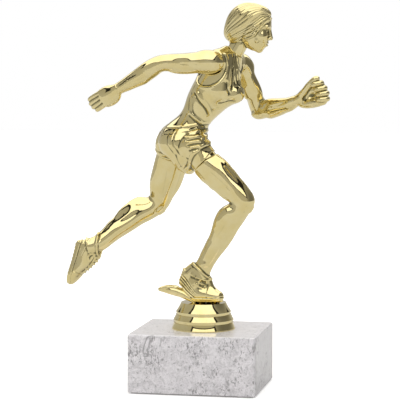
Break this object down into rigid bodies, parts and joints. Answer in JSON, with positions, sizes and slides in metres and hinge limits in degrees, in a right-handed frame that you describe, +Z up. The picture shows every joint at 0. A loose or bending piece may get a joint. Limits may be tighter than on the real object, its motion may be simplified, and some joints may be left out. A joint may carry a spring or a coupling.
{
  "type": "figure trophy",
  "caption": "Trophy of a gold-coloured running figure on a round stepped foot, bolted through a rectangular marble block.",
  "frame": {"origin": "on the table, under the axis of the stud that joins the round foot to the marble block", "axes": "+Z up, +X the way the runner heads, the runner's right side faces -Y"},
  "size_m": [0.1329, 0.055, 0.1904],
  "materials": {
    "gold_plastic": "vacuum-metallised pale gold, mirror bright",
    "marble": "polished, pale grey with dark flecks and fine veins",
    "felt": "off-white self-adhesive felt",
    "zinc_steel": "bright zinc plate",
    "brass": "turned"
  },
  "bodies": {
    "root": {"marble_block": "marble", "felt_sheet": "felt", "threaded_stud": "zinc_steel", "flat_washer": "zinc_steel", "spring_washer": "zinc_steel", "hex_nut": "zinc_steel", "threaded_insert": "brass", "stepped_foot": "gold_plastic", "trunk": "gold_plastic", "head": "gold_plastic", "right_arm": "gold_plastic", "left_arm": "gold_plastic", "right_leg": "gold_plastic", "left_leg": "gold_plastic"}
  },
  "joints": []
}
